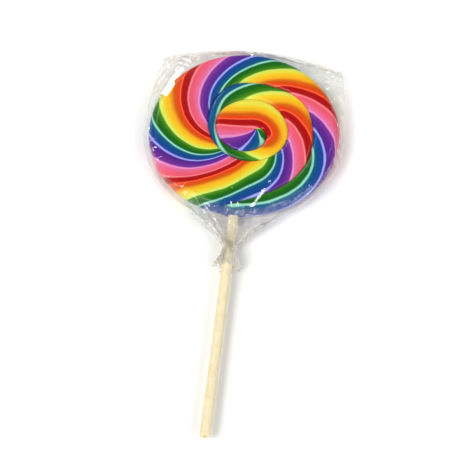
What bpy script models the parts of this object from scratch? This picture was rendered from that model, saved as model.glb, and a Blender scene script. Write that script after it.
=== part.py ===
"""Film-wrapped swirl lollipop, lying face up with its stick towards -Y.

Metres, +Z up.  The origin is at the bottom centre of the whole lollipop's box.  The three
pieces are the pressed candy disc, the paper stick sunk in it, and the clear bag over both.
The bag's shape is worked out about the candy's own centre, with +Y towards the bag's seam.
"""

from math import cos, hypot, pi, radians, sin, sqrt

import bmesh
import bpy
import numpy as np
from mathutils import Matrix

# Candy: a striped rope coiled flat and pressed into a disc
CANDY_RADIUS = 0.041
CANDY_THICKNESS = 0.009
CANDY_EDGE = 0.0035
CANDY_STEPS = 72
EDGE_STEPS = 5

# The coil: its eye is off centre, and the whole swirl is turned a little about the disc
SWIRL_EYE = (0.12, 0.0)
SWIRL_TURN = radians(6.0)
# How far the rope's outer edge lies from the eye: turn in degrees, share of the candy's radius
ROPE_EDGE = (
    (225.0, 1.32), (250.0, 0.98), (270.0, 0.82), (300.0, 0.73), (345.0, 0.605), (370.0, 0.59),
    (395.0, 0.61), (420.0, 0.575), (445.0, 0.585), (475.0, 0.63), (530.0, 0.505), (560.0, 0.46),
    (650.0, 0.38), (735.0, 0.325), (765.0, 0.335), (870.0, 0.44), (900.0, 0.42), (960.0, 0.32),
    (1080.0, 0.05),
)
EDGE_EASING = (-12.0, -6.0, 0.0, 6.0, 12.0)
GROOVE_START = 232.0
GROOVE_END = 1012.0
GROOVE_STEP = 10.0
GROOVE_RADIUS = 0.0016
GROOVE_LIFT = 0.0009
GROOVE_END_SCALE = 0.45
GROOVE_ROUNDING = 1

# Stick: a rolled paper tube, sunk into the candy's edge
STICK_RADIUS = 0.00225
STICK_BORE_RADIUS = 0.0007
STICK_BORE_DEPTH = 0.006
STICK_LENGTH = 0.140
STICK_SUNK = 0.038
STICK_SIDES = 24
STICK_BEVEL = 0.0002
STICK_SMOOTH_ANGLE = 40.0

# Bag: clear film, seamed along the top and gathered round the stick
GAP = 0.0003
FACE_GAP = 0.0004
FILM = 0.0005
BAG_HALF_HEIGHT = CANDY_THICKNESS / 2 + FACE_GAP + FILM
BAG_SIDE = CANDY_RADIUS + 0.0026
SEAM_Y = CANDY_RADIUS + 0.0032
SEAM_DROP = 0.0070
BOW_POWER = 3
CORNER_X = 0.0395
SHOULDER_RADIUS = CANDY_RADIUS - 0.0003
FLAP_HALF = FILM + 0.0001
TENT_POWER = 0.8
HUG_END_Y = -0.0385
NECK_Y = -0.0575
NECK_RADIUS = STICK_RADIUS + GAP + FILM
SLEEVE_END_Y = -0.0670
SLEEVE_FLARE = 0.0012
CONE_POWER = 1.5
CONE_HEIGHT_POWER = 1.2
ROUND_START_Y = -0.0400
ROUND_END_Y = -0.0520
PLEATS = 8
PLEAT_DEPTH = 0.16
SLEEVE_PLEAT_DEPTH = 0.22
SECTION_POINTS = 48
DISC_ROWS = 20
CONE_ROWS = 6
SLEEVE_ROWS = 3
CAVITY_OVERRUN = 0.002
BAG_SMOOTH_ANGLE = 35.0

# Where the candy's centre lies, so that the whole lollipop's box is centred on the origin
STICK_END_Y = STICK_SUNK - CANDY_RADIUS - STICK_LENGTH
CANDY_Y = -(SEAM_Y + STICK_END_Y) / 2
MIDDLE_Z = BAG_HALF_HEIGHT

CANDY_COLOUR = (0.55, 0.06, 0.12, 1.0)
STICK_COLOUR = (0.93, 0.92, 0.88, 1.0)
FILM_COLOUR = (0.92, 0.94, 0.95, 0.3)
CANDY_ROUGHNESS = 0.2
STICK_ROUGHNESS = 0.8
FILM_ROUGHNESS = 0.1

MERGE = 0.00001
CUT_MARGIN = 0.004


def material(name, colour, roughness):
    made = bpy.data.materials.new(name)
    made.use_nodes = True
    shader = made.node_tree.nodes["Principled BSDF"]
    shader.inputs["Base Color"].default_value = colour
    shader.inputs["Alpha"].default_value = colour[3]
    shader.inputs["Roughness"].default_value = roughness
    shader.inputs["Metallic"].default_value = 0.0
    made.diffuse_color = colour
    return made


def add_object(name, mesh, collection, finish=None):
    made = bpy.data.objects.new(name, mesh)
    collection.objects.link(made)
    if finish:
        mesh.materials.append(finish)
    return made


def add_cutter(name, mesh, collection):
    made = add_object(name, mesh, collection)
    made.hide_render = True
    made.display_type = "WIRE"
    return made


def cut(target, cutter):
    boolean = target.modifiers.new("cut_" + cutter.name, "BOOLEAN")
    boolean.operation = "DIFFERENCE"
    boolean.object = cutter


def candy_surface(radius):
    """Height of the candy's face above its mid-plane, at a distance from the disc's centre."""
    past = min(max((radius - (CANDY_RADIUS - CANDY_EDGE)) / CANDY_EDGE, 0.0), 1.0)
    return CANDY_THICKNESS / 2 * sqrt(1.0 - past * past)


def rope_edge(turn):
    """Distance from the eye to the rope's outer edge, eased by averaging along the coil."""
    turns, shares = zip(*ROPE_EDGE)
    near = [turn + offset for offset in EDGE_EASING]
    return CANDY_RADIUS * float(np.mean(np.interp(near, turns, shares)))


def candy_mesh():
    """Half a section of the disc, from the top's middle round the rim to the underside's middle."""
    half = CANDY_THICKNESS / 2
    flat = CANDY_RADIUS - CANDY_EDGE
    profile = [(0.0, half)]
    for step in range(2 * EDGE_STEPS + 1):
        angle = pi / 2 - pi * step / (2 * EDGE_STEPS)
        profile.append((flat + CANDY_EDGE * cos(angle), half * sin(angle)))
    profile.append((0.0, -half))
    mesh = bpy.data.meshes.new("candy")
    points = [(x, 0.0, z) for x, z in profile]
    mesh.from_pydata(points, [(i, i + 1) for i in range(len(points) - 1)], [])
    return mesh


def groove_cutter(name, side, collection):
    """A round-nosed channel along the rope's outer edge, on the face that side (1 or -1) names."""
    eye_x = CANDY_RADIUS * (SWIRL_EYE[0] * cos(SWIRL_TURN) - SWIRL_EYE[1] * sin(SWIRL_TURN))
    eye_y = CANDY_RADIUS * (SWIRL_EYE[0] * sin(SWIRL_TURN) + SWIRL_EYE[1] * cos(SWIRL_TURN))
    steps = int((GROOVE_END - GROOVE_START) / GROOVE_STEP)
    curve = bpy.data.curves.new(name, "CURVE")
    curve.dimensions = "3D"
    curve.bevel_depth = GROOVE_RADIUS
    curve.bevel_resolution = GROOVE_ROUNDING
    curve.use_fill_caps = True
    spline = curve.splines.new("POLY")
    spline.points.add(steps)
    for index, point in enumerate(spline.points):
        turn = GROOVE_START + GROOVE_STEP * index
        scale = 1.0 - (1.0 - GROOVE_END_SCALE) * index / steps
        angle = radians(turn) + SWIRL_TURN
        x = eye_x + rope_edge(turn) * cos(angle)
        y = eye_y + rope_edge(turn) * sin(angle)
        z = candy_surface(hypot(x, y)) + GROOVE_LIFT * scale
        point.co = (x, y, side * z, 1.0)
        point.radius = scale
    wire = bpy.data.objects.new(name + "_curve", curve)
    collection.objects.link(wire)
    bpy.context.view_layer.update()
    mesh = bpy.data.meshes.new_from_object(wire.evaluated_get(bpy.context.evaluated_depsgraph_get()))
    bpy.data.objects.remove(wire)
    weld(mesh)
    return add_cutter(name, mesh, collection)


def weld(mesh):
    work = bmesh.new()
    work.from_mesh(mesh)
    bmesh.ops.remove_doubles(work, verts=work.verts, dist=MERGE)
    bmesh.ops.recalc_face_normals(work, faces=work.faces)
    work.to_mesh(mesh)
    work.free()


def rod_mesh(name, radius, end_y, start_y, sides, bevel=0.0):
    """A round rod along Y, with its end edges rounded if a bevel is asked for."""
    work = bmesh.new()
    bmesh.ops.create_cone(
        work, cap_ends=True, segments=sides, radius1=radius, radius2=radius, depth=start_y - end_y
    )
    bmesh.ops.rotate(work, verts=work.verts, matrix=Matrix.Rotation(pi / 2, 3, "X"))
    bmesh.ops.translate(work, verts=work.verts, vec=(0.0, (start_y + end_y) / 2, 0.0))
    if bevel:
        rims = [edge for edge in work.edges if abs(edge.verts[0].co.y - edge.verts[1].co.y) < MERGE]
        bmesh.ops.bevel(work, geom=rims, offset=bevel, segments=1, affect="EDGES")
    mesh = bpy.data.meshes.new(name)
    work.to_mesh(mesh)
    work.free()
    return mesh


def cone_share(y):
    """0 where the film leaves the candy's rim, 1 at the neck and along the sleeve."""
    return min(max((HUG_END_Y - y) / (HUG_END_Y - NECK_Y), 0.0), 1.0)


def sleeve_share(y):
    return min(max((NECK_Y - y) / (NECK_Y - SLEEVE_END_Y), 0.0), 1.0)


def bag_side(y):
    """The bag's half width: bowed from its corners, hugging the disc, then drawn in to the neck."""
    if y > 0.0:
        corner_y = SEAM_Y - SEAM_DROP
        return BAG_SIDE - (BAG_SIDE - CORNER_X) * (y / corner_y) ** 2
    if y > HUG_END_Y:
        return sqrt(BAG_SIDE**2 - y**2)
    hug_end = sqrt(BAG_SIDE**2 - HUG_END_Y**2)
    drawn = NECK_RADIUS + (hug_end - NECK_RADIUS) * (1.0 - cone_share(y)) ** CONE_POWER
    return drawn + SLEEVE_FLARE * sleeve_share(y) ** 2


def tent_height(x, y):
    """The film's height where it falls from the candy's shoulder to the bag's outline."""
    seam = SEAM_Y - SEAM_DROP * (x / CORNER_X) ** 2
    to_edge = max(min(seam - y, bag_side(y) - abs(x)), 0.0)
    to_disc = max(hypot(x, y) - SHOULDER_RADIUS, 0.0)
    share = to_edge / (to_edge + to_disc) if to_disc else 1.0
    return FLAP_HALF + (BAG_HALF_HEIGHT - FLAP_HALF) * share**TENT_POWER


def bag_point(row_y, angle, inset):
    """A point of the bag's section, taken in by inset for the inside of the film."""
    bow = SEAM_DROP * max(row_y / SEAM_Y, 0.0) ** BOW_POWER
    y = row_y - bow * cos(angle) ** 2
    share = cone_share(y)
    pleat = PLEAT_DEPTH * share * (1.0 - share) + SLEEVE_PLEAT_DEPTH * sleeve_share(y)
    swell = 1.0 + pleat * (1.0 + cos(PLEATS * angle)) / 2
    x = (bag_side(row_y - bow) * swell - inset) * cos(angle)
    tent = tent_height(x, y) - inset
    tall = NECK_RADIUS + (BAG_HALF_HEIGHT - NECK_RADIUS) * (1.0 - share) ** CONE_HEIGHT_POWER
    tall += SLEEVE_FLARE * sleeve_share(y) ** 2
    rounded = (tall * swell - inset) * abs(sin(angle))
    blend = min(max((ROUND_START_Y - y) / (ROUND_START_Y - ROUND_END_Y), 0.0), 1.0)
    z = tent + (rounded - tent) * blend * blend * (3.0 - 2.0 * blend)
    return (x, y, z if sin(angle) > 0.0 else -z)


def bag_rows(inset, overrun):
    """Section places from the seam to the sleeve's end, closer together near the candy's rim."""
    last = -HUG_END_Y
    first = SEAM_Y - inset
    rows = []
    for index in range(DISC_ROWS + 1):
        wave = cos(pi * index / DISC_ROWS)
        rows.append((first + last) / 2 * wave + (first - last) / 2)
    for index in range(1, CONE_ROWS + 1):
        rows.append(HUG_END_Y + (NECK_Y - HUG_END_Y) * index / CONE_ROWS)
    for index in range(1, SLEEVE_ROWS + 1):
        rows.append(NECK_Y + (SLEEVE_END_Y - overrun - NECK_Y) * index / SLEEVE_ROWS)
    return rows


def bag_mesh(name, inset, overrun):
    """A loft through the bag's sections, closed at its flat seam and at the sleeve's round end."""
    count = SECTION_POINTS
    angles = [(index + 0.5) * 2 * pi / count for index in range(count)]
    work = bmesh.new()
    rings = [
        [work.verts.new(bag_point(row_y, angle, inset)) for angle in angles]
        for row_y in bag_rows(inset, overrun)
    ]
    for upper, lower in zip(rings, rings[1:]):
        for index in range(count):
            after = (index + 1) % count
            work.faces.new((upper[index], upper[after], lower[after], lower[index]))
    seam = rings[0]
    for index in range(count // 2 - 1):
        work.faces.new((seam[index], seam[index + 1], seam[-2 - index], seam[-1 - index]))
    work.faces.new(rings[-1])
    bmesh.ops.recalc_face_normals(work, faces=work.faces)
    mesh = bpy.data.meshes.new(name)
    work.to_mesh(mesh)
    work.free()
    return mesh


def smooth(made, degrees):
    made.data.shade_smooth()
    made.data.set_sharp_from_angle(angle=radians(degrees))


def build_candy(parts, cutters):
    candy = add_object("candy", candy_mesh(), parts, material("candy", CANDY_COLOUR, CANDY_ROUGHNESS))
    turned = candy.modifiers.new("turned", "SCREW")
    turned.axis = "Z"
    turned.steps = CANDY_STEPS
    turned.render_steps = CANDY_STEPS
    turned.use_merge_vertices = True
    turned.merge_threshold = MERGE
    turned.use_smooth_shade = True
    cut(candy, groove_cutter("groove_front", 1, cutters))
    cut(candy, groove_cutter("groove_back", -1, cutters))
    hole_top = STICK_SUNK - CANDY_RADIUS + GAP
    hole_foot = -CANDY_RADIUS - CUT_MARGIN
    hole = rod_mesh("stick_hole", STICK_RADIUS + GAP, hole_foot, hole_top, STICK_SIDES)
    cut(candy, add_cutter("stick_hole", hole, cutters))
    return candy


def build_stick(parts, cutters):
    top = STICK_END_Y + STICK_LENGTH
    mesh = rod_mesh("stick", STICK_RADIUS, STICK_END_Y, top, STICK_SIDES, STICK_BEVEL)
    stick = add_object("stick", mesh, parts, material("stick", STICK_COLOUR, STICK_ROUGHNESS))
    smooth(stick, STICK_SMOOTH_ANGLE)
    bore_foot = STICK_END_Y - CUT_MARGIN
    bore_top = STICK_END_Y + STICK_BORE_DEPTH
    bore = rod_mesh("stick_bore", STICK_BORE_RADIUS, bore_foot, bore_top, STICK_SIDES // 2)
    cut(stick, add_cutter("stick_bore", bore, cutters))
    return stick


def build_wrapper(parts, cutters):
    film = material("film", FILM_COLOUR, FILM_ROUGHNESS)
    wrapper = add_object("wrapper", bag_mesh("wrapper", 0.0, 0.0), parts, film)
    smooth(wrapper, BAG_SMOOTH_ANGLE)
    cut(wrapper, add_cutter("bag_inside", bag_mesh("bag_inside", FILM, CAVITY_OVERRUN), cutters))
    return wrapper


def main():
    for leftover in list(bpy.data.objects):
        bpy.data.objects.remove(leftover)
    parts = bpy.data.collections.new("swirl_lollipop")
    cutters = bpy.data.collections.new("cutters")
    bpy.context.scene.collection.children.link(parts)
    bpy.context.scene.collection.children.link(cutters)
    build_candy(parts, cutters)
    build_stick(parts, cutters)
    build_wrapper(parts, cutters)
    for made in list(parts.objects) + list(cutters.objects):
        made.location = (0.0, CANDY_Y, MIDDLE_Z)


main()
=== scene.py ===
"""Looks of the film-wrapped swirl lollipop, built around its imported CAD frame.

Metres, +Z up.  The lollipop lies face up with its stick towards -Y.  The candy is one twisted
rope, coiled clockwise outward in three turns and pressed flat; the stick is rolled paper; the
bag is clear film with a crimped top seam, gathered round the stick below the candy.
"""

from math import cos, pi, radians, sin, tan

import bpy
import numpy as np
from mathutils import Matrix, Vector, noise


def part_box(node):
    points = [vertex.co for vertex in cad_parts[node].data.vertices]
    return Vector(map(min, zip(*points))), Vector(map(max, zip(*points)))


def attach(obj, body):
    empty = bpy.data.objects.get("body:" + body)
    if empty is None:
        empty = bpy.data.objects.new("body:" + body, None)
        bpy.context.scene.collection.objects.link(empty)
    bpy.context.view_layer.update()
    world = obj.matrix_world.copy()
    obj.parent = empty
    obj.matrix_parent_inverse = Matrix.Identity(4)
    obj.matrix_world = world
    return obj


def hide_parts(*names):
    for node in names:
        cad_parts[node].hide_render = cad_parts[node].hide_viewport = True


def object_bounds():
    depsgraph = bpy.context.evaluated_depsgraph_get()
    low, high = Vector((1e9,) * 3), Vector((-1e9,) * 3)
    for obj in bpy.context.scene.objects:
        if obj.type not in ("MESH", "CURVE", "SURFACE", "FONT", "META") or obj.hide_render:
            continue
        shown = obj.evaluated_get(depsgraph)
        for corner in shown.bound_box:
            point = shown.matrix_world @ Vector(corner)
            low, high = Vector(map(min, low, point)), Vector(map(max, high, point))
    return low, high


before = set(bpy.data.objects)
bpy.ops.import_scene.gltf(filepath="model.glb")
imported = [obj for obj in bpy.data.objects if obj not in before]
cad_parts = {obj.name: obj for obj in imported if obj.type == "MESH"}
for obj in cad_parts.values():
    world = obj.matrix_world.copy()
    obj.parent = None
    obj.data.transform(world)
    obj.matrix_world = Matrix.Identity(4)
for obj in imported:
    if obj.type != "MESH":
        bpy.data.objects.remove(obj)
cad_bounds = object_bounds()

# Driving sizes, all read from the frame
candy_low, candy_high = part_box("candy")
stick_low, stick_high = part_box("stick")
bag_low, bag_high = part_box("wrapper")
CANDY_RADIUS = (candy_high.x - candy_low.x) / 2
CANDY_HALF = (candy_high.z - candy_low.z) / 2
CENTRE = (candy_low + candy_high) / 2
STICK_RADIUS = (stick_high.z - stick_low.z) / 2
MM = 0.001

# The coil, in shares of the candy's radius and degrees, turned a little about the disc
SWIRL_EYE = (0.12, 0.0)
SWIRL_TURN = radians(6.0)
ROPE_EDGE = (
    (225.0, 1.32), (250.0, 0.98), (270.0, 0.82), (300.0, 0.73), (345.0, 0.605), (370.0, 0.59),
    (395.0, 0.61), (420.0, 0.575), (445.0, 0.585), (475.0, 0.63), (530.0, 0.505), (560.0, 0.46),
    (650.0, 0.38), (735.0, 0.325), (765.0, 0.335), (870.0, 0.44), (900.0, 0.42), (960.0, 0.32),
    (1080.0, 0.05), (1110.0, 0.0),
)
EDGE_EASING = (-12.0, -6.0, 0.0, 6.0, 12.0)
FULL_TURN = 360.0
TAIL_TURN = -114.0
TIP_TURN = 1084.0
TURN_STEP = 2.0
ACROSS_STEPS = 30
ROPE_GAP = 0.08 * MM
CANDY_EDGE = 3.5 * MM
SHOULDER_WIDTH = 1.7 * MM
SHOULDER_DEPTH = 1.15 * MM
ROPE_CROWN = 0.12 * MM
PRESS_WAVE = 0.10 * MM

COLLAR_WALL = 1.3 * MM
COLLAR_EDGE = 0.9 * MM
COLLAR_BLEND = 0.5 * MM
NUB_LENGTH = 2.0 * MM
NUB_WIDTH = 3.0 * MM
NUB_REACH = 3.0 * MM

# Stripe phase at the rim, in cycles of the seven colours: it falls at an even rate round the rim,
# from where the rope's tail has begun to where the rope dips inward and is twisted more tightly
TAIL_PHASE = 1.51
EVEN_FROM = -40.0
EVEN_SOFTNESS = 20.0
EVEN_RATE = 0.0093
TIGHT_FROM = 215.0
TIGHT_SOFTNESS = 10.0
TIGHT_RATE = 0.008
# Stripe phase along the inner turns' edge, which pressing has made uneven
INNER_PHASE = (
    (240.0, -1.5), (285.0, -1.65), (320.0, -1.95), (370.0, -2.15), (420.0, -2.36), (470.0, -2.55),
    (520.0, -2.56), (600.0, -2.43), (700.0, -2.25),
)
PHASE_EASING = (-8.0, -4.0, 0.0, 4.0, 8.0)
RIM_SLOPE = 0.95
RIM_CURVE = 0.3
INNER_SLOPE = 1.0
SIDE_SLANT = 0.06
CORE_CENTRE = (0.08, -0.10)
CORE_RADIUS = 0.36
CORE_LIMIT = 0.40
CORE_SOFTNESS = 0.08
CORE_SLOPE = 1.33
CORE_PHASE = -2.23
CORE_DRIFT = 0.7
CORE_CURL = 60.0

# The seven stripes and the pale threads between them: where each starts and ends in the cycle, and
# its colours from one side to the other
STRIPE_START = 0.03
STRIPES = (
    (0.0, 0.085, ("b80804", "a80402", "b4121a")),
    (0.096, 0.108, ("fb8288", "fa8a94")),
    (0.12, 0.242, ("e8566e", "e8607c", "e070a8")),
    (0.258, 0.272, ("ec90c4", "e694cc")),
    (0.285, 0.412, ("80349c", "62268e", "4c248e")),
    (0.422, 0.438, ("a4a6f4", "a2aaf2")),
    (0.45, 0.552, ("1a4098", "0a4a8c", "065c7c")),
    (0.563, 0.578, ("96dcc8", "94dabc")),
    (0.59, 0.702, ("105c20", "1c6e0c", "508e12")),
    (0.715, 0.715, ("c8ec78",)),
    (0.73, 0.855, ("e0e458", "f0ca22", "f4b21e")),
    (0.88, 0.973, ("e68c16", "cf5c06", "da4e06", "e84010")),
    (0.986, 0.986, ("f6643a",)),
)

# Bag: its outline repeats the CAD bag's own construction
WALL = 0.25 * MM
BAG_HALF_HEIGHT = (bag_high.z - bag_low.z) / 2
BAG_SIDE = bag_high.x
SEAM_Y = bag_high.y - CENTRE.y
NECK_Y = -57.5 * MM
SLEEVE_END_Y = -67.0 * MM
HUG_END_Y = -38.5 * MM
SEAM_DROP = 7.0 * MM
BOW_POWER = 3
CORNER_X = 39.5 * MM
SHOULDER_RADIUS = CANDY_RADIUS - 0.3 * MM
FLAP_HALF = 0.45 * MM
TENT_POWER = 0.8
NECK_RADIUS = STICK_RADIUS + 0.65 * MM
SLEEVE_FLARE = 1.4 * MM
CONE_POWER = 1.5
CONE_HEIGHT_POWER = 1.2
ROUND_START_Y = -40.0 * MM
ROUND_END_Y = -52.0 * MM
BAG_ROW_STEP = 0.85 * MM
BAG_AROUND = 264
FILM_THICKNESS = 0.07 * MM

# Camera: set about the whole lollipop's middle so that the disc, which lies beyond it, is seen
# from 55 degrees above its face, a little from the right, as in the photograph
CAMERA_ELEVATION = radians(58.5)
CAMERA_AZIMUTH = radians(6.3)
LENS = 135.0
SENSOR = 36.0
HEIGHT_SHARE = 0.86


def linear(code):
    """A display colour written as six hex digits, as linear light."""
    parts = [int(code[i : i + 2], 16) / 255 for i in (0, 2, 4)]
    return tuple(p / 12.92 if p <= 0.04045 else ((p + 0.055) / 1.055) ** 2.4 for p in parts) + (1.0,)


def ease(value, low, high):
    """0 below low, 1 above high, and smooth between."""
    share = np.clip((value - low) / (high - low), 0.0, 1.0)
    return share * share * (3.0 - 2.0 * share)


def eased_table(at, table, easing):
    """Reads a table of (place, value) rows with its corners averaged away."""
    places, values = np.array(table).T
    return np.mean([np.interp(at + offset, places, values) for offset in easing], axis=0)


def noise_at(points, scale, offset=0.0):
    """Blender's smooth noise at each point, in about -1 to 1."""
    shift = Vector((offset, -offset, 2.0 * offset))
    return np.array([noise.noise(Vector(p) * scale + shift) for p in points])


def soft_ramp(value, start, softness):
    """0 below start, then rising by 1 a unit, with its corner rounded over about softness."""
    past = value - start
    return (past + np.hypot(past, softness)) / 2


def mesh_object(name, points, faces, materials):
    mesh = bpy.data.meshes.new(name)
    mesh.from_pydata([tuple(p) for p in points], [], faces)
    mesh.validate()
    made = bpy.data.objects.new(name, mesh)
    bpy.context.scene.collection.objects.link(made)
    for finish in materials:
        mesh.materials.append(finish)
    mesh.shade_smooth()
    return made


def add_values(made, name, values):
    """Stores one number a point for the material to read."""
    attribute = made.data.attributes.new(name, "FLOAT", "POINT")
    attribute.data.foreach_set("value", values.reshape(-1).astype(np.float32))


def loop_faces(rings, count, capped, reverse):
    """Quads that join rings of count points one after another, with flat ends where capped."""
    faces = []
    for ring in range(rings - 1):
        first = ring * count
        for index in range(count):
            after = (index + 1) % count
            faces.append((first + index, first + after, first + count + after, first + count + index))
    if capped:
        faces.append(tuple(range(count))[::-1])
        faces.append(tuple(range((rings - 1) * count, rings * count)))
    return [face[::-1] for face in faces] if reverse else faces


# ---- Candy ------------------------------------------------------------------------------------


def rope_edge(turn):
    """Distance from the eye to the rope's outer edge, in candy radii."""
    return eased_table(turn, ROPE_EDGE, EDGE_EASING)


def rim_distance(turn):
    """Distance from the eye to the disc's rim, in candy radii."""
    angle = np.radians(turn)
    along = SWIRL_EYE[0] * np.cos(angle) + SWIRL_EYE[1] * np.sin(angle)
    return np.sqrt(1.0 - SWIRL_EYE[0] ** 2 - SWIRL_EYE[1] ** 2 + along**2) - along


def stripe_phase(turn, x, y, reach, outer, height_share):
    """Which colour shows: phase grows clockwise and inward, and runs on round the rim to the back."""
    radius = np.hypot(x, y)
    angle = np.degrees(np.arctan2(y, x))
    angle = angle + FULL_TURN * np.round((turn - angle) / FULL_TURN)
    side = np.where(height_share < 0.0, -1.0, 1.0)
    inward = 1.0 - radius
    slant = SIDE_SLANT * (1.0 - height_share)
    rim = TAIL_PHASE - EVEN_RATE * soft_ramp(angle, EVEN_FROM, EVEN_SOFTNESS)
    rim = rim - TIGHT_RATE * soft_ramp(angle, TIGHT_FROM, TIGHT_SOFTNESS)
    rim = rim + side * (RIM_SLOPE + RIM_CURVE * inward) * inward - slant
    inner = eased_table(turn, INNER_PHASE, PHASE_EASING)
    inner = inner + side * INNER_SLOPE * (outer - reach) - slant
    right, above = np.maximum(x - CORE_CENTRE[0], 0.0), y - CORE_CENTRE[1]
    above = above + (soft_ramp(above, 0.0, CORE_SOFTNESS) - above) * ease(turn, 860.0, 930.0)
    hook = np.hypot(np.hypot(right, above), CORE_SOFTNESS) - CORE_SOFTNESS / 8
    core = CORE_SLOPE * (CORE_RADIUS - np.minimum(hook, CORE_LIMIT))
    core = CORE_PHASE + side * core + CORE_DRIFT * ease(turn + CORE_CURL * reach, 890.0, 1110.0) - slant
    body = rim + (inner - rim) * ease(turn, 214.0, 280.0)
    return body + (core - body) * ease(turn, 600.0, 720.0)


def groove_drop(distance):
    """How far the face falls at this distance from a groove, as a rounded shoulder."""
    past = np.clip(1.0 - distance / SHOULDER_WIDTH, 0.0, 1.0)
    return SHOULDER_DEPTH * (1.0 - np.sqrt(1.0 - past**2))


def candy_points():
    """The rope's sections one after another, with each point's stripe phase and turn."""
    turns = np.arange(TAIL_TURN, TIP_TURN + TURN_STEP / 2, TURN_STEP)
    across = (1.0 - np.cos(np.linspace(0.0, pi, ACROSS_STEPS + 1))) / 2
    turn = np.repeat(turns[:, None], len(across), axis=1)
    gap = ROPE_GAP / CANDY_RADIUS / 2
    groove_out = rope_edge(turn)
    groove_in = rope_edge(turn + FULL_TURN)
    rim = rim_distance(turn)
    outer = np.minimum(groove_out - gap, rim)
    inner = np.minimum(groove_in + gap, outer - gap)
    reach = outer + (inner - outer) * across[None, :]
    angle = np.radians(turn)
    x = SWIRL_EYE[0] + reach * np.cos(angle)
    y = SWIRL_EYE[1] + reach * np.sin(angle)
    past = (np.hypot(x, y) * CANDY_RADIUS - (CANDY_RADIUS - CANDY_EDGE)) / CANDY_EDGE
    face = np.sqrt(1.0 - np.clip(past, 0.0, 1.0) ** 2)
    drop = groove_drop((groove_out - reach) * CANDY_RADIUS)
    drop = drop + groove_drop((reach - groove_in) * CANDY_RADIUS)
    crown = ROPE_CROWN * 4.0 * across * (1.0 - across)
    relief = (crown - drop) / CANDY_HALF
    sections = []
    for side in (1.0, -1.0):
        share = side * face
        phase = stripe_phase(turn, x, y, reach, np.minimum(groove_out, rim), share)
        height = side * CANDY_HALF * face * (1.0 + relief)
        sections.append((x, y, height, phase, turn))
    joined = [np.concatenate([top, under[:, ::-1]], axis=1) for top, under in zip(*sections)]
    return joined


def swell_round_stick(flat):
    """Raises the candy into a smooth collar where the stick goes in at its rim."""
    x, y, z = flat.T
    past = (np.hypot(x, y) - (CANDY_RADIUS - COLLAR_EDGE)) / COLLAR_EDGE
    blunt = np.sqrt(1.0 - np.clip(past, 0.0, 1.0) ** 2)
    collar = np.sqrt(np.maximum((STICK_RADIUS + COLLAR_WALL) ** 2 - x**2, 0.0)) * blunt * (y < 0.0)
    height = np.abs(z)
    lift = np.clip(0.5 + (collar - height) / COLLAR_BLEND / 2, 0.0, 1.0)
    raised = height + (collar - height) * lift + COLLAR_BLEND * lift * (1.0 - lift)
    flat[:, 2] = np.sign(z) * np.where(collar > 0.0, np.maximum(raised, height), height)
    pushed = ease(np.hypot(x, y), CANDY_RADIUS - NUB_REACH, CANDY_RADIUS) * np.exp(-((x / NUB_WIDTH) ** 2))
    flat[:, 1] -= NUB_LENGTH * pushed * (y < 0.0)


def build_candy(finish):
    x, y, z, phase, turn = candy_points()
    rings, count = x.shape
    cos_turn, sin_turn = cos(SWIRL_TURN), sin(SWIRL_TURN)
    points = np.stack([x * cos_turn - y * sin_turn, x * sin_turn + y * cos_turn], axis=-1) * CANDY_RADIUS
    flat = np.concatenate([points.reshape(-1, 2), z.reshape(-1, 1)], axis=1)
    swell_round_stick(flat)
    wave = noise_at(flat * (1.0, 1.0, 0.2), 110.0)
    flat[:, 2] += PRESS_WAVE * wave * np.clip(flat[:, 2] / CANDY_HALF, -1.0, 1.0)
    flat += np.array(CENTRE)
    candy = mesh_object("candy_rope", flat, loop_faces(rings, count, True, True), [finish])
    add_values(candy, "stripe_phase", phase)
    add_values(candy, "rope_turn", turn / FULL_TURN)
    return candy


# ---- Stick ------------------------------------------------------------------------------------

STICK_AROUND = 96
STICK_ALONG = 90
SEAM_STEP = 0.07 * MM
SEAM_SPREAD = 0.05
SEAM_TWIST = 0.35
BORE_RADIUS = 0.55 * MM
BORE_DEPTH = 5.0 * MM
ROLL_TURNS = 7.0
ROLL_RELIEF = 0.10 * MM
END_RINGS = 30
END_ROUND = 0.18 * MM


def stick_ring(y, radius, spiral):
    """One ring of the stick; spiral is how far the lap seam has turned round by this place."""
    around = np.arange(STICK_AROUND) / STICK_AROUND
    past_seam = (around - spiral) % 1.0
    lap = SEAM_STEP * np.clip(1.0 - past_seam / SEAM_SPREAD, 0.0, 1.0)
    angle = 2 * pi * around
    reach = radius + (lap - SEAM_STEP if radius > BORE_RADIUS else 0.0)
    return np.stack([reach * np.cos(angle), np.full(STICK_AROUND, y), reach * np.sin(angle)], axis=1)


def build_stick(finish):
    """A rolled paper stick: lap seam along it, wound layers and a fine bore at its open end."""
    length = stick_high.y - stick_low.y
    around = np.arange(STICK_AROUND) / STICK_AROUND
    rings = []
    bore_end = stick_low.y + BORE_DEPTH
    rings.append(stick_ring(bore_end, BORE_RADIUS * 0.7, 0.0))
    rings.append(stick_ring(stick_low.y + 0.3 * MM, BORE_RADIUS, 0.0))
    for index in range(END_RINGS + 1):
        share = index / END_RINGS
        radius = BORE_RADIUS + (STICK_RADIUS - BORE_RADIUS) * share
        ring = stick_ring(stick_low.y, radius, 0.0)
        wound = (ROLL_TURNS * share - around) % 1.0
        ring[:, 1] += ROLL_RELIEF * wound * (1.0 - share) + END_ROUND * share**8
        rings.append(ring)
    for index in range(STICK_ALONG + 1):
        share = index / STICK_ALONG
        y = stick_low.y + END_ROUND * 1.6 + (length - END_ROUND * 3.0) * share
        rings.append(stick_ring(y, STICK_RADIUS, SEAM_TWIST * share))
    rings.append(stick_ring(stick_high.y, STICK_RADIUS * 0.92, SEAM_TWIST))
    points = np.concatenate(rings)
    points[:, 2] += CENTRE.z
    return mesh_object("paper_stick", points, loop_faces(len(rings), STICK_AROUND, True, True), [finish])


# ---- Bag --------------------------------------------------------------------------------------

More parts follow.
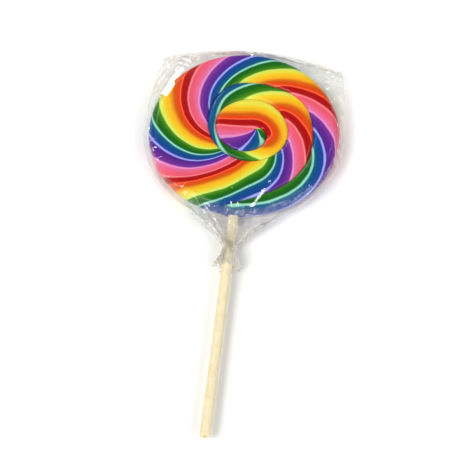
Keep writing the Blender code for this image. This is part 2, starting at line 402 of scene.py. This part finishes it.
PLEATS = 9
SEAM_BAND = 4.2 * MM
SEAM_ROWS = 22
CRIMP_PITCH = 1.2 * MM
CRIMP_HEIGHT = 0.2 * MM
LOWEST = 0.12 * MM
FOLD_START = (-0.90, 0.33)
FOLD_END = (-0.69, 0.92)
FOLD_INNER = 2.0 * MM
FOLD_OUTER = 1.0 * MM
FOLD_SLOPE = tan(radians(13.0))
FOLD_FALL = tan(radians(33.0))


def cone_share(y):
    return np.clip((HUG_END_Y - y) / (HUG_END_Y - NECK_Y), 0.0, 1.0)


def sleeve_share(y):
    return np.clip((NECK_Y - y) / (NECK_Y - SLEEVE_END_Y), 0.0, 1.0)


def bag_side(y):
    """The bag's half width at each y: bowed from its corners, round the disc, then drawn in."""
    corner_y = SEAM_Y - SEAM_DROP
    upper = BAG_SIDE - (BAG_SIDE - CORNER_X) * (np.maximum(y, 0.0) / corner_y) ** 2
    hug = np.sqrt(np.maximum(BAG_SIDE**2 - np.minimum(y, 0.0) ** 2, 0.0))
    hug_end = np.sqrt(BAG_SIDE**2 - HUG_END_Y**2)
    drawn = NECK_RADIUS + (hug_end - NECK_RADIUS) * (1.0 - cone_share(y)) ** CONE_POWER
    drawn = drawn + SLEEVE_FLARE * sleeve_share(y) ** 2
    return np.where(y > 0.0, upper, np.where(y > HUG_END_Y, hug, drawn))


def tent_height(x, y):
    """The film's height where it falls from the candy's shoulder to the bag's outline."""
    seam = SEAM_Y - SEAM_DROP * (x / CORNER_X) ** 2
    to_edge = np.maximum(np.minimum(seam - y, bag_side(y) - np.abs(x)), 0.0)
    to_disc = np.maximum(np.hypot(x, y) - SHOULDER_RADIUS, 0.0)
    share = np.where(to_disc > 0.0, to_edge / (to_edge + to_disc + 1e-9), 1.0)
    return FLAP_HALF + (BAG_HALF_HEIGHT - WALL - FLAP_HALF) * share**TENT_POWER


def ridged(points, scale, offset):
    """Folded noise, about -0.5 to 0.5, with sharp crests like creased film."""
    return 0.5 - np.clip(np.abs(noise_at(points, scale, offset)) * 2.0, 0.0, 1.0)


def fan(points, centre, spokes, reach_scale, offset):
    """Creases that radiate from a centre, and the distance from it."""
    dx, dy = points[:, 0] - centre[0], points[:, 1] - centre[1]
    angle = np.arctan2(dx, dy)
    reach = np.hypot(dx, dy)
    cells = np.stack([angle * spokes, reach * reach_scale, np.zeros(len(dx))], axis=1)
    return ridged(cells, 1.0, offset), reach


def film_relief(flat, slack, offset):
    """How far the film stands off its smooth shape: creases, radial tucks and gathered folds."""
    x, y = flat[:, 0], flat[:, 1]
    relief = 0.14 * MM * ridged(flat, 60.0, offset)
    relief += slack * 1.1 * MM * ridged(flat, 85.0, offset + 1.0)
    relief += slack * 0.5 * MM * ridged(flat, 240.0, offset + 2.0)
    tucks, reach = fan(flat, (0.0, 0.0), 9.0, 20.0, offset + 6.0)
    near_rim = np.exp(-(((reach - CANDY_RADIUS) / (3.0 * MM)) ** 2))
    relief += tucks * 0.9 * MM * near_rim
    folds, reach = fan(flat, (0.0, NECK_Y), 5.5, 12.0, offset + 3.0)
    relief += folds * (1.6 * MM * np.exp(-reach / 0.018) + 0.35 * MM * np.exp(-reach / 0.05))
    for corner in (-CORNER_X, CORNER_X):
        folds, reach = fan(flat, (corner, SEAM_Y - SEAM_DROP), 3.0, 30.0, offset + 4.0 + corner * 50.0)
        relief += folds * 1.2 * MM * np.exp(-reach / 0.016)
    return relief


def folded_flat(x, y):
    """The highest that the film can be beside one straight fold, a flat band along the rim."""
    start, end = np.array(FOLD_START) * CANDY_RADIUS, np.array(FOLD_END) * CANDY_RADIUS
    length = np.hypot(*(end - start))
    along_x, along_y = (end - start) / length
    past = -(x - start[0]) * along_y + (y - start[1]) * along_x
    along = (x - start[0]) * along_x + (y - start[1]) * along_y
    ended = 1.0 - ease(along, -4.0 * MM, 0.0) + ease(along, length, length + 6.0 * MM)
    band = FOLD_SLOPE * (past + FOLD_INNER)
    fall = FOLD_SLOPE * (FOLD_OUTER + FOLD_INNER) + FOLD_FALL * (past - FOLD_OUTER)
    return BAG_HALF_HEIGHT - WALL - np.maximum(band, fall) + ended * 2.0 * MM


def bag_rows():
    """Where the film's sections lie along Y: close together in the crimped seam and the neck."""
    band_end = SEAM_Y - SEAM_BAND
    band = np.linspace(SEAM_Y, band_end, SEAM_ROWS, endpoint=False)
    disc = np.arange(band_end, HUG_END_Y, -BAG_ROW_STEP)
    below = np.arange(HUG_END_Y, SLEEVE_END_Y, -BAG_ROW_STEP * 0.75)
    return np.concatenate([band, disc, below])


def bag_points():
    """The film's sections from the top seam down over the candy to the sleeve's end."""
    angles = (np.arange(BAG_AROUND) + 0.5) * 2 * pi / BAG_AROUND
    row, angle = np.meshgrid(bag_rows(), angles, indexing="ij")
    bow = SEAM_DROP * (np.maximum(row, 0.0) / SEAM_Y) ** BOW_POWER
    y = row - bow * np.cos(angle) ** 2
    share = cone_share(y)
    pleat = 0.9 * share * (1.0 - share) + 0.14 * share + 0.5 * sleeve_share(y)
    uneven = PLEATS * angle + 2.2 * np.sin(2.0 * angle + 1.0) + 1.3 * np.sin(3.0 * angle)
    swell = 1.0 + pleat * (1.0 - 1.7 * np.abs(np.sin(uneven / 2.0)))
    x = (bag_side(row - bow) * swell - WALL) * np.cos(angle)
    tent = tent_height(x, y)
    tall = NECK_RADIUS + (BAG_HALF_HEIGHT - NECK_RADIUS) * (1.0 - share) ** CONE_HEIGHT_POWER
    tall = tall + SLEEVE_FLARE * sleeve_share(y) ** 2
    rounded = (tall * swell - WALL) * np.abs(np.sin(angle))
    z = tent + (rounded - tent) * (1.0 - ease(y, ROUND_END_Y, ROUND_START_Y))
    return x, y, z, angle, row


def build_bag(finish):
    x, y, z, angle, row = bag_points()
    rings, count = x.shape
    side = np.where(np.sin(angle) > 0.0, 1.0, -1.0)
    radius = np.hypot(x, y)
    slack = ease(radius / CANDY_RADIUS, 0.97, 1.07)
    flat = np.stack([x, y, np.zeros_like(x)], axis=-1).reshape(-1, 3)
    fronts = film_relief(flat, slack.reshape(-1), 3.0).reshape(rings, count)
    backs = film_relief(flat, slack.reshape(-1), 11.0).reshape(rings, count) * 0.6
    in_band = ease(row, SEAM_Y - SEAM_BAND, SEAM_Y - SEAM_BAND * 0.85)
    crimp = CRIMP_HEIGHT * np.sin(2 * pi * (SEAM_Y - row) / CRIMP_PITCH)
    free = np.clip(np.abs(np.sin(angle)) * 6.0, 0.0, 1.0)
    relief = np.where(side > 0.0, fronts, backs) * free * (1.0 - in_band * 0.7)
    height = z * (1.0 - in_band * 0.6) + relief
    height = np.where(side > 0.0, np.minimum(height, folded_flat(x, y)), height)
    over_candy = 1.0 - ease(radius, CANDY_RADIUS * 0.90, CANDY_RADIUS * 0.98)
    lowest = LOWEST + (CANDY_HALF + WALL - LOWEST) * over_candy
    height = np.maximum(height, lowest)
    height = np.where(side < 0.0, np.minimum(height, BAG_HALF_HEIGHT - LOWEST), height)
    height = side * height + in_band * crimp
    points = np.stack([x, y, height], axis=-1).reshape(-1, 3) + np.array(CENTRE)
    bag = mesh_object("film_bag", points, loop_faces(rings, count, False, False), [finish])
    add_values(bag, "film_slack", slack)
    drawn_in = ease(-y, -HUG_END_Y, -NECK_Y)
    add_values(bag, "film_gather", np.maximum(drawn_in, 0.5 * in_band))
    skin = bag.modifiers.new("thickness", "SOLIDIFY")
    skin.thickness = FILM_THICKNESS
    skin.offset = 0.0
    skin.use_even_offset = False
    return bag


# ---- Materials --------------------------------------------------------------------------------


class Nodes:
    """Short calls for wiring a material's nodes."""

    def __init__(self, name):
        self.material = bpy.data.materials.new(name)
        self.material.use_nodes = True
        self.tree = self.material.node_tree
        self.shader = self.tree.nodes["Principled BSDF"]
        self.output = self.tree.nodes["Material Output"]

    def add(self, kind, **settings):
        made = self.tree.nodes.new(kind)
        for name, value in settings.items():
            setattr(made, name, value)
        return made

    def link(self, source, target):
        self.tree.links.new(source, target)

    def math(self, operation, first, second=None):
        made = self.add("ShaderNodeMath", operation=operation)
        for socket, value in zip(made.inputs, (first, second)):
            if isinstance(value, (int, float)):
                socket.default_value = value
            elif value is not None:
                self.link(value, socket)
        return made.outputs[0]

    def noise(self, vector, scale, detail=3.0, roughness=0.5):
        made = self.add("ShaderNodeTexNoise")
        made.inputs["Scale"].default_value = scale
        made.inputs["Detail"].default_value = detail
        made.inputs["Roughness"].default_value = roughness
        self.link(vector, made.inputs["Vector"])
        return made.outputs["Fac"]

    def streaks(self, across, along, across_scale, along_scale):
        """Noise drawn out along the candy's stripes."""
        made = self.add("ShaderNodeCombineXYZ")
        self.link(self.math("MULTIPLY", across, across_scale), made.inputs["X"])
        self.link(self.math("MULTIPLY", along, along_scale), made.inputs["Y"])
        return self.noise(made.outputs["Vector"], 1.0, 3.0, 0.6)

    def facets(self, vector, scale):
        """Height that rises evenly from the edges of irregular cells, like crumpled film."""
        made = self.add("ShaderNodeTexVoronoi", feature="DISTANCE_TO_EDGE")
        made.inputs["Scale"].default_value = scale
        self.link(vector, made.inputs["Vector"])
        return made.outputs["Distance"]

    def ramp(self, factor, stops):
        made = self.add("ShaderNodeValToRGB")
        elements = made.color_ramp.elements
        for place, colour in stops[1:-1]:
            elements.new(place).color = colour
        elements[0].position, elements[0].color = stops[0]
        elements[len(stops) - 1].position, elements[len(stops) - 1].color = stops[-1]
        self.link(factor, made.inputs["Fac"])
        return made.outputs["Color"]

    def map_range(self, value, low, high):
        made = self.add("ShaderNodeMapRange")
        made.inputs["To Min"].default_value = low
        made.inputs["To Max"].default_value = high
        self.link(value, made.inputs["Value"])
        return made.outputs["Result"]

    def mix(self, factor, first, second, blend="MIX"):
        made = self.add("ShaderNodeMix", data_type="RGBA", blend_type=blend)
        for socket, value in ((made.inputs[0], factor), (made.inputs[6], first), (made.inputs[7], second)):
            if isinstance(value, (int, float, tuple)):
                socket.default_value = value
            else:
                self.link(value, socket)
        return made.outputs[2]

    def bump(self, height, distance, strength=1.0):
        made = self.add("ShaderNodeBump")
        made.inputs["Distance"].default_value = distance
        made.inputs["Strength"].default_value = strength
        self.link(height, made.inputs["Height"])
        return made.outputs["Normal"]


def stripe_stops():
    """The colour ramp's stops, evenly spaced across each stripe and thread."""
    stops = []
    for start, end, codes in STRIPES:
        places = np.linspace(start, end, len(codes))
        stops.extend((float(place), linear(code)) for place, code in zip(places, codes))
    return stops


def candy_material():
    """Pulled sugar: crisp stripes, pale threads between them, and fine streaks along each one."""
    made = Nodes("candy_sugar")
    phase = made.add("ShaderNodeAttribute", attribute_name="stripe_phase").outputs["Fac"]
    turn = made.add("ShaderNodeAttribute", attribute_name="rope_turn").outputs["Fac"]
    place = made.add("ShaderNodeTexCoord").outputs["Object"]
    wander = made.map_range(made.noise(place, 160.0, 2.0), -0.008, 0.008)
    wandered = made.math("ADD", phase, wander)
    cycle = made.math("FRACT", made.math("ADD", wandered, STRIPE_START))
    colour = made.ramp(cycle, stripe_stops())
    streak = made.streaks(wandered, turn, 30.0, 5.0)
    fine_streak = made.streaks(wandered, turn, 130.0, 9.0)
    mixed = made.math("ADD", made.math("MULTIPLY", streak, 0.55), made.math("MULTIPLY", fine_streak, 0.45))
    shade = made.map_range(mixed, 0.76, 1.22)
    shade_colour = made.add("ShaderNodeCombineColor")
    for channel in ("Red", "Green", "Blue"):
        made.link(shade, shade_colour.inputs[channel])
    colour = made.mix(1.0, colour, shade_colour.outputs["Color"], "MULTIPLY")
    made.link(colour, made.shader.inputs["Base Color"])
    made.link(made.map_range(made.noise(place, 420.0), 0.14, 0.26), made.shader.inputs["Roughness"])
    grain = made.math("ADD", mixed, made.math("MULTIPLY", made.noise(place, 900.0, 2.0), 0.6))
    made.link(made.bump(grain, 0.00008), made.shader.inputs["Normal"])
    made.shader.inputs["IOR"].default_value = 1.30
    made.shader.inputs["Subsurface Weight"].default_value = 0.12
    made.shader.inputs["Subsurface Radius"].default_value = (0.0016, 0.0010, 0.0008)
    made.shader.inputs["Subsurface Scale"].default_value = 1.0
    return made.material


def paper_material():
    """Warm white rolled paper: faint fibres along the stick and slightly darker blotches."""
    made = Nodes("rolled_paper")
    place = made.add("ShaderNodeTexCoord").outputs["Object"]
    stretch = made.add("ShaderNodeMapping")
    stretch.inputs["Scale"].default_value = (1.0, 0.08, 1.0)
    made.link(place, stretch.inputs["Vector"])
    fibre = made.noise(stretch.outputs["Vector"], 3800.0, 4.0, 0.65)
    blotch = made.noise(place, 130.0, 3.0)
    tone = made.ramp(fibre, [(0.30, linear("d8caa2")), (0.5, linear("e4d8b4")), (0.72, linear("eee4c8"))])
    worn = made.ramp(blotch, [(0.35, linear("f8f3e6")), (0.65, linear("ffffff"))])
    made.link(made.mix(0.6, tone, worn, "MULTIPLY"), made.shader.inputs["Base Color"])
    made.link(made.map_range(fibre, 0.62, 0.85), made.shader.inputs["Roughness"])
    made.link(made.bump(fibre, 0.00005), made.shader.inputs["Normal"])
    return made.material


def film_material():
    """Clear film: see-through head on, glossy towards its edges, milky where it is gathered."""
    made = Nodes("clear_film")
    made.tree.nodes.remove(made.shader)
    place = made.add("ShaderNodeTexCoord").outputs["Object"]
    slack = made.add("ShaderNodeAttribute", attribute_name="film_slack").outputs["Fac"]
    gather = made.add("ShaderNodeAttribute", attribute_name="film_gather").outputs["Fac"]
    bent = made.add("ShaderNodeVectorMath", operation="ADD")
    jitter = made.add("ShaderNodeTexNoise")
    jitter.inputs["Scale"].default_value = 90.0
    made.link(place, jitter.inputs["Vector"])
    shift = made.add("ShaderNodeVectorMath", operation="SCALE")
    shift.inputs["Scale"].default_value = 0.008
    made.link(jitter.outputs["Color"], shift.inputs[0])
    made.link(place, bent.inputs[0])
    made.link(shift.outputs[0], bent.inputs[1])
    facets = made.facets(bent.outputs[0], 120.0)
    small_facets = made.facets(bent.outputs[0], 330.0)
    crinkle = made.math("ADD", facets, made.math("MULTIPLY", small_facets, 0.35))
    crinkle = made.math("MULTIPLY", crinkle, made.map_range(slack, 0.10, 1.0))
    normal = made.bump(crinkle, 0.0011)
    clear = made.add("ShaderNodeBsdfTransparent")
    tint = made.mix(gather, (0.985, 0.987, 0.985, 1.0), (0.955, 0.957, 0.955, 1.0))
    made.link(tint, clear.inputs["Color"])
    gloss = made.add("ShaderNodeBsdfGlossy")
    gloss.inputs["Color"].default_value = (1.0, 1.0, 1.0, 1.0)
    gloss.inputs["Roughness"].default_value = 0.05
    made.link(normal, gloss.inputs["Normal"])
    haze = made.add("ShaderNodeBsdfDiffuse")
    haze.inputs["Color"].default_value = linear("f4efe6")
    weight = made.add("ShaderNodeLayerWeight")
    weight.inputs["Blend"].default_value = 0.5
    made.link(normal, weight.inputs["Normal"])
    edge_on = made.math("POWER", weight.outputs["Facing"], 2.3)
    mirror = made.math("ADD", made.math("MULTIPLY", edge_on, 0.5), 0.018)
    shine = made.add("ShaderNodeMixShader")
    made.link(mirror, shine.inputs["Fac"])
    made.link(clear.outputs["BSDF"], shine.inputs[1])
    made.link(gloss.outputs["BSDF"], shine.inputs[2])
    film = made.add("ShaderNodeMixShader")
    milk = made.map_range(made.noise(place, 320.0, 3.0), 0.0, 0.08)
    milk = made.math("MULTIPLY", milk, made.math("ADD", slack, made.math("MULTIPLY", gather, 3.2)))
    made.link(milk, film.inputs["Fac"])
    made.link(shine.outputs["Shader"], film.inputs[1])
    made.link(haze.outputs["BSDF"], film.inputs[2])
    made.link(film.outputs["Shader"], made.output.inputs["Surface"])
    return made.material


def floor_material():
    made = Nodes("pale_floor")
    place = made.add("ShaderNodeTexCoord").outputs["Object"]
    tone = made.ramp(made.noise(place, 3.0, 2.0), [(0.3, linear("f1f1f0")), (0.7, linear("f5f5f4"))])
    made.link(tone, made.shader.inputs["Base Color"])
    made.link(made.map_range(made.noise(place, 900.0), 0.75, 0.85), made.shader.inputs["Roughness"])
    return made.material


# ---- Stage ------------------------------------------------------------------------------------

FLOOR_HALF = 6.0
HORIZON_LIGHT = 0.5
OVERHEAD_LIGHT = 0.10


def build_floor():
    corners = [(-FLOOR_HALF, -FLOOR_HALF), (FLOOR_HALF, -FLOOR_HALF), (FLOOR_HALF, FLOOR_HALF), (-FLOOR_HALF, FLOOR_HALF)]
    points = [(x, y, 0.0) for x, y in corners]
    floor = mesh_object("floor", points, [(0, 1, 2, 3)], [floor_material()])


def aim(made, target):
    made.rotation_euler = (Vector(target) - made.location).to_track_quat("-Z", "Y").to_euler()


def add_light(name, place, target, size, power, colour):
    light = bpy.data.lights.new(name, "AREA")
    light.shape = "RECTANGLE"
    light.size, light.size_y = size
    light.energy = power
    light.color = colour
    made = bpy.data.objects.new(name, light)
    bpy.context.scene.collection.objects.link(made)
    made.location = place
    aim(made, target)


def add_sun(name, place, target, strength, spread, colour):
    light = bpy.data.lights.new(name, "SUN")
    light.energy = strength
    light.angle = spread
    light.color = colour
    made = bpy.data.objects.new(name, light)
    bpy.context.scene.collection.objects.link(made)
    made.location = place
    aim(made, target)


def build_world():
    """A studio that is pale at the horizon and darker overhead, so the film stays clear."""
    world = bpy.data.worlds.new("studio")
    world.use_nodes = True
    tree = world.node_tree
    sky = tree.nodes["Background"]
    direction = tree.nodes.new("ShaderNodeTexCoord")
    split = tree.nodes.new("ShaderNodeSeparateXYZ")
    level = tree.nodes.new("ShaderNodeMapRange")
    level.interpolation_type = "SMOOTHSTEP"
    level.inputs["From Min"].default_value = 0.05
    level.inputs["From Max"].default_value = 0.40
    level.inputs["To Min"].default_value = HORIZON_LIGHT
    level.inputs["To Max"].default_value = OVERHEAD_LIGHT
    tree.links.new(direction.outputs["Generated"], split.inputs["Vector"])
    tree.links.new(split.outputs["Z"], level.inputs["Value"])
    tree.links.new(level.outputs["Result"], sky.inputs["Strength"])
    sky.inputs["Color"].default_value = (0.97, 0.975, 1.0, 1.0)
    bpy.context.scene.world = world


def build_lights():
    middle = (0.0, 0.03, 0.0)
    add_sun("key_sun", (-0.75, -0.75, 1.25), middle, 2.7, radians(38.0), (1.0, 0.985, 0.96))
    add_light("fill_softbox", (0.95, -0.65, 1.0), middle, (1.0, 1.0), 13.0, (0.97, 0.985, 1.0))
    add_light("edge_softbox", (-0.48, 0.86, 0.68), middle, (0.20, 0.55), 3.6, (1.0, 1.0, 1.0))
    add_light("spark_softbox", (0.65, 0.60, 0.85), middle, (0.12, 0.12), 1.4, (1.0, 1.0, 1.0))


def build_camera():
    """Looks at the lollipop's middle, as far off as makes it fill the frame's height."""
    low, high = cad_bounds
    middle = (low + high) / 2
    half_angle_tangent = SENSOR / 2 / LENS
    seen_height = (high.y - low.y) * sin(CAMERA_ELEVATION) + (high.z - low.z) * cos(CAMERA_ELEVATION)
    distance = seen_height / HEIGHT_SHARE / 2 / half_angle_tangent
    back = Vector((
        sin(CAMERA_AZIMUTH) * cos(CAMERA_ELEVATION),
        -cos(CAMERA_AZIMUTH) * cos(CAMERA_ELEVATION),
        sin(CAMERA_ELEVATION),
    ))
    data = bpy.data.cameras.new("camera")
    data.lens = LENS
    data.sensor_width = SENSOR
    data.clip_start = 0.01
    camera = bpy.data.objects.new("camera", data)
    bpy.context.scene.collection.objects.link(camera)
    camera.location = middle + back * distance
    aim(camera, middle)
    bpy.context.scene.camera = camera


def main():
    scene = bpy.context.scene
    scene.view_settings.view_transform = "Standard"
    scene.cycles.transparent_max_bounces = 32
    pieces = (
        (build_candy(candy_material()), "candy", "candy"),
        (build_stick(paper_material()), "stick", "stick"),
        (build_bag(film_material()), "wrapper", "film"),
    )
    for piece, node, slot in pieces:
        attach(piece, "root")
        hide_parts(node)
    build_floor()
    build_world()
    build_lights()
    build_camera()


main()
